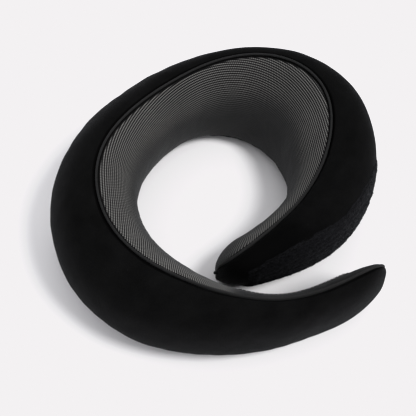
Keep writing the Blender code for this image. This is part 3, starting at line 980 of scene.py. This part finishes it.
def threads(name, paths, radius, slot, sides=4, **values):
    """Many small tubes in one piece. paths is an array: tube, point along it, xyz. The values
    are one for each tube."""
    count, length = paths.shape[:2]
    tangent = unit(np.gradient(paths, axis=1))
    helper = np.where(np.abs(tangent[..., 2:]) < 0.8, (0, 0, 1), (1, 0, 0))
    side = unit(np.cross(tangent, helper))
    up = np.cross(side, tangent)
    turn = np.linspace(0, 2 * math.pi, sides, endpoint=False)[:, None]
    ring = np.cos(turn) * side[:, :, None] + np.sin(turn) * up[:, :, None]
    vertices = paths[:, :, None] + radius * ring
    index = np.arange(count * length * sides).reshape(count, length, sides)
    after = np.roll(index, -1, 2)
    quads = np.stack([index[:, :-1], after[:, :-1], after[:, 1:], index[:, 1:]], -1)
    faces = quads.reshape(-1, 4).tolist() + index[:, 0, ::-1].tolist() + index[:, -1].tolist()
    values = {key: np.repeat(value, length * sides, axis=0) for key, value in values.items()}
    return mesh_object(name, vertices.reshape(-1, 3), faces, slot, values, sharp=0)


def read_line(places, known, points):
    """Points at places along a line that is known at others."""
    return np.stack([np.interp(places, known, points[:, k]) for k in range(3)], -1)


STITCH_PROUD = 0.25 * MM


def stitch_paths(points, out, length=2.2 * MM, gap=1.0 * MM):
    """Short stitches along a line of points, each sinking into the cloth at its ends."""
    steps = np.linalg.norm(np.diff(points, axis=0), axis=1)
    distance = np.concatenate([[0], np.cumsum(steps)])
    count = max(int(distance[-1] / (length + gap)), 1)
    starts = np.arange(count) * distance[-1] / count
    t = np.linspace(0, 1, 5)
    places = starts[:, None] + t * length
    arch = STITCH_PROUD * (np.sin(math.pi * t) * 1.6 - 0.6)
    return read_line(places, distance, points) + read_line(places, distance, out) * arch[:, None]


def sewn_border(name, layer, lift, inset, radius=0.22 * MM, *stitch):
    """Stitches along a layer's border, inset by so many cells."""
    i = np.arange(inset, len(layer.rows) - inset)
    k = np.arange(inset, layer.angles.shape[1] - inset)
    low, high = np.full(len(i), k[0]), np.full(len(i), k[-1])
    first, last = np.full(len(k), i[0]), np.full(len(k), i[-1])
    rows = np.concatenate([i, last, i[::-1], first])
    columns = np.concatenate([low, k, high, k[::-1]])
    along, angle = layer.along[rows, columns], layer.angles[rows, columns]
    out = normals(along, angle)
    paths = stitch_paths(surface(along, angle) + out * lift, out, *stitch)
    return threads(name, paths, radius, "black_thread")


def place_sheet(pieces, node, layer, body="back", bend=None):
    """Places a cloth that is sewn down all round, and the pieces on it."""
    for piece in pieces:
        place(piece, body, node if piece == pieces[0] else None, bend)
    flat_size(layer)


# ---- Hook and loop ----

# Upper edge of the loop patch: millimetres along the arm, degrees round the section
PATCH_EDGE = (
    (18, 58), (28, 63), (40, 61), (54, 62), (69, 55), (84, 47), (98, 46), (113, 43), (124, 32),
)
PATCH_FROM = 18 * MM
PATCH_TO = 124 * MM
PATCH_HEM = 9 * MM  # height of its lower edge above the floor
PATCH_WIDTH = 90 * MM  # at its widest, round the section
STRIP_FROM = 556 * MM
STRIP_TO = 640 * MM


def patch_layer(step):
    rows = np.linspace(PATCH_FROM, PATCH_TO, round((PATCH_TO - PATCH_FROM) / step) + 1)
    places, edge = np.array(PATCH_EDGE).T
    high = np.radians(np.interp(rows, places * MM, edge)) + 0.02 * ripples(rows, 0, 6 * MM, 31)
    low = angle_at_height(PATCH_HEM, rows, -0.93, -0.6) + 0.01 * ripples(rows, 0, 6 * MM, 32)
    return Layer(rows, (low, high), [evenly(round(PATCH_WIDTH / step))])


def strip_layer(step):
    rows = np.linspace(STRIP_FROM, STRIP_TO, round((STRIP_TO - STRIP_FROM) / step) + 1)
    top = TOP_SEAM(share_at(rows))
    gap = (BOTTOM_SEAM - top) / 6
    return Layer(rows, (top + 2 * gap, top + 5 * gap), [evenly(round(46 * MM / step))])


def from_border(layer):
    across = np.minimum(layer.from_first, layer.from_last)
    ends = np.minimum(layer.along - layer.rows[0], layer.rows[-1] - layer.along)
    return np.minimum(across, ends)


def flat_size(layer):
    """A sheet's length and width, each the mean distance along its surface."""
    points = surface(layer.along, layer.angles)
    length = np.linalg.norm(np.diff(points, axis=0), axis=2).sum(0).mean()
    return float(length), float(layer.whole.mean())


def patch_lift(layer):
    """Height of the patch's cloth above the skin: thin at its border, uneven inside."""
    edge = smooth(from_border(layer), 0, 4 * MM)
    along, across = layer.along, layer.from_first
    bumps = ripples(along, across, 7 * MM, 33) + 0.7 * ripples(along, across, 3.2 * MM, 34, 24)
    return 0.25 * MM + edge * (0.55 * MM + 0.30 * MM * bumps)


def on_layer(layer, lift, along_share, across_share):
    """Points and directions at shares of a layer's length and width."""
    i = along_share * (len(layer.rows) - 1)
    k = across_share * (layer.angles.shape[1] - 1)
    a, b = i.astype(int), k.astype(int)
    a, b = np.minimum(a, len(layer.rows) - 2), np.minimum(b, layer.angles.shape[1] - 2)
    u, v = i - a, k - b
    weights = ((0, 0, (1 - u) * (1 - v)), (1, 0, u * (1 - v)), (0, 1, (1 - u) * v), (1, 1, u * v))
    along = sum(w * layer.along[a + p, b + q] for p, q, w in weights)
    angle = sum(w * layer.angles[a + p, b + q] for p, q, w in weights)
    height = sum(w * lift[a + p, b + q] for p, q, w in weights)
    out = normals(along, angle)
    return surface(along, angle) + out * height[..., None], out


PILE_LOOPS = 6000
PILE_HEIGHT = 0.75 * MM


def make_loop_patch():
    layer = patch_layer(1.2 * MM)
    lift = patch_lift(layer)
    base = layer_piece(
        "loop_patch_cloth", layer, lift, 0.6 * MM, "loop_pile",
        values={"dark": darker_to_short_tip(layer.along)},
    )
    draw = np.random.default_rng(41)
    shares = draw.uniform(0.005, 0.995, (2, PILE_LOOPS))
    places, out = on_layer(layer, lift, *shares)
    along = PATCH_FROM + (PATCH_TO - PATCH_FROM) * shares[0]
    t = np.linspace(0, 1, 6)[:, None]
    spin = draw.uniform(0, 2 * math.pi, PILE_LOOPS)
    side = unit(np.cross(out, (0.3, 0.2, 0.9)))
    across = np.cross(out, side)
    lean = np.cos(spin)[:, None] * side + np.sin(spin)[:, None] * across
    wide = draw.uniform(0.4, 1.1, PILE_LOOPS)[:, None, None] * MM
    high = draw.uniform(0.5, 1.0, PILE_LOOPS)[:, None, None] * PILE_HEIGHT
    paths = places[:, None] + (t - 0.5) * wide * lean[:, None]
    paths = paths + (np.sin(math.pi * t) * high - 0.15 * MM) * out[:, None]
    pile = threads(
        "loop_patch_pile", paths, 0.10 * MM, "loop_pile", 3,
        cloth=np.stack([along, PATCH_WIDTH * shares[1], 0 * along], 1), dark=darker_to_short_tip(along),
    )
    sewing = sewn_border("loop_patch_stitches", layer, 0.75 * MM, 2)
    place_sheet(
        [base, pile, sewing], "loop_patch", layer,
        "short_arm", SHORT_BEND,
    )


HOOK_PITCH = 1.6 * MM


def make_hook_strip():
    layer = strip_layer(1.5 * MM)
    lift = 0.25 * MM + 0.5 * MM * smooth(from_border(layer), 0, 1 * MM)
    base = layer_piece("hook_strip_cloth", layer, lift, 0.5 * MM, "hook_nylon")
    rows = round((STRIP_TO - STRIP_FROM) / HOOK_PITCH)
    columns = round(float(layer.whole.mean()) / HOOK_PITCH)
    grid = np.meshgrid(np.linspace(0.04, 0.96, rows), np.linspace(0.10, 0.93, columns))
    places, out = on_layer(layer, lift, *(g.ravel() for g in grid))
    side = unit(np.cross(out, (0, 0, 1)))
    bend = np.array(((0, 0), (0, 0.5), (0.05, 0.85), (0.25, 1.0), (0.45, 0.85), (0.5, 0.65))) * MM
    paths = places[:, None] + bend[:, :1] * side[:, None] + bend[:, 1:] * out[:, None]
    hooks = threads("hook_strip_hooks", paths, 0.13 * MM, "hook_nylon", 4)
    sewing = sewn_border("hook_strip_stitches", layer, 0.75 * MM, 1)
    place_sheet(
        [base, hooks, sewing], "hook_strip", layer,
        "long_arm", LONG_BEND,
    )


# ---- The zip, on its arc low on the back ----


def zip_points(bearing, across, out):
    """Points of the zip: bearing in radians, distances across it and out of it."""
    radius = ZIP_RADIUS + across * math.sin(ZIP_SLOPE) + out * math.cos(ZIP_SLOPE)
    height = ZIP_HEIGHT + across * math.cos(ZIP_SLOPE) - out * math.sin(ZIP_SLOPE)
    x = ZIP_CENTRE[0] + radius * np.cos(bearing)
    y = ZIP_CENTRE[1] + radius * np.sin(bearing)
    return np.stack(np.broadcast_arrays(x, y, height), -1)


def under_cut_edge(bearing, height, lowest, highest):
    """The line just inside the shell's cut edge at this height, where a tape is sewn in."""
    rows = np.linspace(ZIP_FROM - 25 * MM, ZIP_TO + 25 * MM, 160)
    angle = angle_at_height(height, rows, lowest, highest)
    points = surface(rows, angle) - TAPE_SUNK * normals(rows, angle)
    bearings = np.arctan2(points[:, 1] - ZIP_CENTRE[1], points[:, 0] - ZIP_CENTRE[0])
    order = np.argsort(bearings)
    return read_line(bearing, bearings[order], points[order])


# The tape's inner edge and its fold, across the zip and out of it
TAPE_EDGE = (0.6 * MM, 1.35 * MM)
TAPE_FOLD = (4.6 * MM, 0.45 * MM)
TAPE_HALF_THICK = 0.25 * MM
TAPE_UNDER = 2.2 * MM  # how far the tape runs on behind the shell's cut edge
TAPE_SUNK = 1.5 * MM
TAPE_STITCHES = (0.73, 1.36)  # lines of sewing: 0 at the edge, 1 at the fold, 2 at the shell
COIL_MIDDLE = (1.75 * MM, 2.65 * MM)
COIL_REACH = (1.15 * MM, 0.42 * MM)
COIL_PITCH = 1.5 * MM
COIL_WIRE = 0.30 * MM
COIL_POINTS = 14  # to a turn
COIL_END = math.radians(1.6)  # from the tape's end to the coil's


def make_zip():
    start, end = (math.radians(b) for b in ZIP_ARC)
    places = np.linspace(start, end, 200)
    shares = np.linspace(0, 2, 13)
    out = unit(zip_points(places, 0, MM) - zip_points(places, 0, 0))
    hems = {
        1: under_cut_edge(places, ZIP_WINDOW[1] + TAPE_UNDER, -0.76, -0.2),
        -1: under_cut_edge(places, ZIP_WINDOW[0] - TAPE_UNDER, -0.97, -0.8),
    }
    for side, name in ((1, "upper"), (-1, "lower")):
        inner = zip_points(places, side * TAPE_EDGE[0], TAPE_EDGE[1])
        fold = zip_points(places, side * TAPE_FOLD[0], TAPE_FOLD[1])
        reach = np.linalg.norm(hems[side] - fold, axis=1).mean()

        def on_tape(share):
            first, second = np.clip(share, 0, 1), np.clip(share - 1, 0, 1)
            return inner + first * (fold - inner) + second * (hems[side] - fold)

        middle = np.stack([on_tape(share) for share in shares], 1)
        wave = 0.06 * MM * np.sin(places * ZIP_RADIUS / (2.2 * MM))[:, None, None]
        top = middle + (wave + TAPE_HALF_THICK) * out[:, None]
        bottom = middle + (wave - TAPE_HALF_THICK) * out[:, None]
        across = np.interp(shares, (0, 1, 2), (TAPE_EDGE[0], TAPE_FOLD[0], TAPE_FOLD[0] + reach))
        cloth = np.stack(np.broadcast_arrays(places[:, None] * ZIP_RADIUS, across, 0.0), -1)
        if side < 0:
            top, bottom, cloth = top[::-1], bottom[::-1], cloth[::-1]
        values = {"cloth": cloth}
        tape = backed_sheet("zip_tape_cloth_" + name, top, bottom, "zip_tape_cloth", values)
        place(tape, node="zip_tape_" + name)

        first, last = start + COIL_END, end - COIL_END
        turns = round((last - first) * ZIP_RADIUS / COIL_PITCH)
        t = np.linspace(0, turns, turns * COIL_POINTS + 1)
        swing = 2 * math.pi * t + (0 if side > 0 else math.pi)
        wire = zip_points(
            first + (last - first) * t / turns,
            side * (COIL_MIDDLE[0] - COIL_REACH[0] * np.cos(swing)),
            COIL_MIDDLE[1] + COIL_REACH[1] * np.sin(swing),
        )
        coil = threads("zip_coil_wire_" + name, wire[None], COIL_WIRE, "zip_nylon", 7)
        place(coil, node="zip_coil_" + name)

        lines = []
        for share in TAPE_STITCHES:
            lines.append(stitch_paths(on_tape(share) + 1.2 * TAPE_HALF_THICK * out, out))
        sewing = threads("zip_stitches_" + name, np.concatenate(lines), 0.2 * MM, "black_thread")
        place(sewing)
    for name in ("zip_slider", "zip_pull", "zip_top_stop", "zip_bottom_stop"):
        round_edges(name)


def round_edges(node):
    """A cast part: the CAD solid with its edges rounded."""
    cad = frame["nodes"][node]
    piece = add(node + "_cast", cad.data.copy())
    piece.data.materials.clear()
    piece.data.materials.append(materials["zip_metal"])
    bm = bmesh.new()
    bm.from_mesh(piece.data)
    bmesh.ops.remove_doubles(bm, verts=bm.verts, dist=1e-6)
    flat = math.radians(3)
    bmesh.ops.dissolve_limit(bm, angle_limit=flat, verts=bm.verts, edges=bm.edges)
    edges = [e for e in bm.edges if e.calc_face_angle(0) > math.radians(30)]
    bmesh.ops.bevel(
        bm, geom=edges, offset=0.28 * MM, segments=3, profile=0.5, affect="EDGES",
        clamp_overlap=True,
    )
    bm.to_mesh(piece.data)
    bm.free()
    piece.data.shade_smooth()
    piece.data.set_sharp_from_angle(angle=math.radians(50))
    bodies = frame["record"]["behaviour"]["bodies"]
    place(piece, next(b for b, nodes in bodies.items() if node in nodes), node)


# ---- Hems, label and the seams' tail ----


def make_window_hem():
    """The shell's edge, rolled round the zip's opening."""
    rows = np.linspace(ZIP_FROM, ZIP_TO, 120)
    low, high = window_edges(rows)
    ends = np.linspace(0, 1, 16)[1:-1]
    along = np.concatenate([rows, 0 * ends + ZIP_TO, rows[::-1], 0 * ends + ZIP_FROM])
    up, down = low[-1] + ends * (high[-1] - low[-1]), high[0] + ends * (low[0] - high[0])
    angle = np.concatenate([low, up, high[::-1], down])
    out = normals(along, angle)
    points = surface(along, angle)
    points[:, 2] = np.maximum(points[:, 2], 0.9 * MM)
    points = np.concatenate([points, points[:2]])
    out = np.concatenate([out, out[:2]])
    radii = np.full(len(points), 0.8 * MM)
    vertices, faces = tube_mesh(points, radii, 10, out)
    hem = mesh_object("zip_window_hem", vertices, faces, "black_jersey")
    place(hem)


LABEL_ALONG = (376 * MM, 404 * MM)


def make_label():
    rows = np.linspace(*LABEL_ALONG, 40)
    low = angle_at_height(ZIP_WINDOW[0] + 1.5 * MM, rows, -0.93, -0.6)
    high = angle_at_height(ZIP_WINDOW[1] + 1.0 * MM, rows, -0.76, -0.3)
    layer = Layer(rows, (low, high), [evenly(24)])
    edge = from_border(layer)
    lift = 0.8 * MM + 0.35 * MM * (1 - smooth(edge, 0, 1.5 * MM))
    lift += 0.12 * MM * ripples(layer.along, layer.from_first, 9 * MM, 61)
    label = layer_piece("care_label_satin", layer, lift, 0.35 * MM, "label_satin")
    sewing = sewn_border("care_label_stitches", layer, 0.9 * MM, 3, 0.16 * MM, 1.6 * MM, 0.8 * MM)
    place_sheet([label, sewing], "care_label", layer)


def make_seam_tail():
    """The ends of the pipings, folded into one short stub at the short arm's tip."""
    tip = surface(0.0, 0.0)
    t = np.linspace(-1, 1, 12)[:, None]
    direction = np.array((-0.75, -0.25, -0.35))
    points = tip + (t * 2.2 + 0.9) * MM * direction + MM * np.array((0, 0, 2.2))
    radii = 1.25 * MM * np.sqrt(1 - 0.9 * np.clip(t[:, 0], 0, 1) ** 4)
    radii *= 1 + 0.12 * np.sin(7 * t[:, 0])
    vertices, faces = tube_mesh(points, radii, 12, np.tile((0.0, 0.0, 1.0), (12, 1)))
    tail = mesh_object("seam_tail", vertices, faces, "black_piping")
    place(tail, "short_arm")


# ---- Surroundings ----


def make_stage():
    bpy.ops.mesh.primitive_plane_add(size=60)
    floor = bpy.context.object
    floor.name = "floor"
    Shader("pale_floor", (0.86, 0.845, 0.852), 0.9, Specular_IOR_Level=0.2)
    floor.data.materials.append(materials["pale_floor"])
    return floor


CAMERA_TARGET = Vector((-0.007, -0.007, 0.040))
CAMERA_ELEVATION = math.radians(60)
CAMERA_DISTANCE = 0.910
CAMERA_LENS = 105.5
LIGHT_DIRECTION = Vector((0.496, -0.301, 1)).normalized()


def aim(made, target):
    direction = target - made.location
    made.rotation_euler = direction.to_track_quat("-Z", "Y").to_euler()


def make_camera():
    data = bpy.data.cameras.new("camera")
    camera = add("camera", data)
    back = Vector((0, -math.cos(CAMERA_ELEVATION), math.sin(CAMERA_ELEVATION)))
    camera.location = CAMERA_TARGET + CAMERA_DISTANCE * back
    data.lens = CAMERA_LENS
    data.sensor_width = 36
    data.clip_start = 0.01
    aim(camera, CAMERA_TARGET)
    bpy.context.scene.camera = camera


KEY_POWER = 2.45
OVERHEAD_POWER = 0.80
SKY = 0.70
WHITE = (0.897, 0.879, 0.888)  # the brightest tone that the exposure leaves, as on a print


def soft_sun(name, direction, width, power):
    """A far softbox that looks so many degrees wide."""
    data = bpy.data.lights.new(name, "SUN")
    data.angle = math.radians(width)
    data.energy = power
    add(name, data).rotation_euler = direction.to_track_quat("Z", "Y").to_euler()


def make_lights():
    soft_sun("key", LIGHT_DIRECTION, 16, KEY_POWER)
    soft_sun("overhead", Vector((0, 0, 1)), 60, OVERHEAD_POWER)
    world = bpy.data.worlds.new("studio")
    world.use_nodes = True
    background = world.node_tree.nodes["Background"]
    background.inputs["Color"].default_value = (0.95, 0.96, 1.0, 1)
    background.inputs["Strength"].default_value = SKY
    bpy.context.scene.world = world
    look = bpy.context.scene.view_settings
    look.view_transform = "Standard"
    look.use_curve_mapping = True
    look.curve_mapping.extend = "HORIZONTAL"
    for channel, white in zip(look.curve_mapping.curves, WHITE):
        channel.points[1].location = (1, white)
        knee = channel.points.new(0.80, 0.80)
        knee.handle_type = "VECTOR"
    look.curve_mapping.update()


def main():
    jersey_material()
    knit_material()
    piping_material()
    pile_material()
    foam_material()
    plain_material("hook_nylon", grey(0.014), 0.5)
    tape_material()
    plain_material("zip_nylon", grey(0.012), 0.4)
    plain_material("zip_metal", grey(0.06, 1.05), 0.32, Metallic=1.0)
    satin_material()
    plain_material("black_thread", grey(0.004), 0.8, Specular_IOR_Level=0.1)
    swell = simulate_cover()
    make_foam()
    make_cover(swell)
    make_piping()
    make_seam_tail()
    make_loop_patch()
    make_hook_strip()
    make_zip()
    make_window_hem()
    make_label()
    make_stage()
    make_camera()
    make_lights()


main()

import json
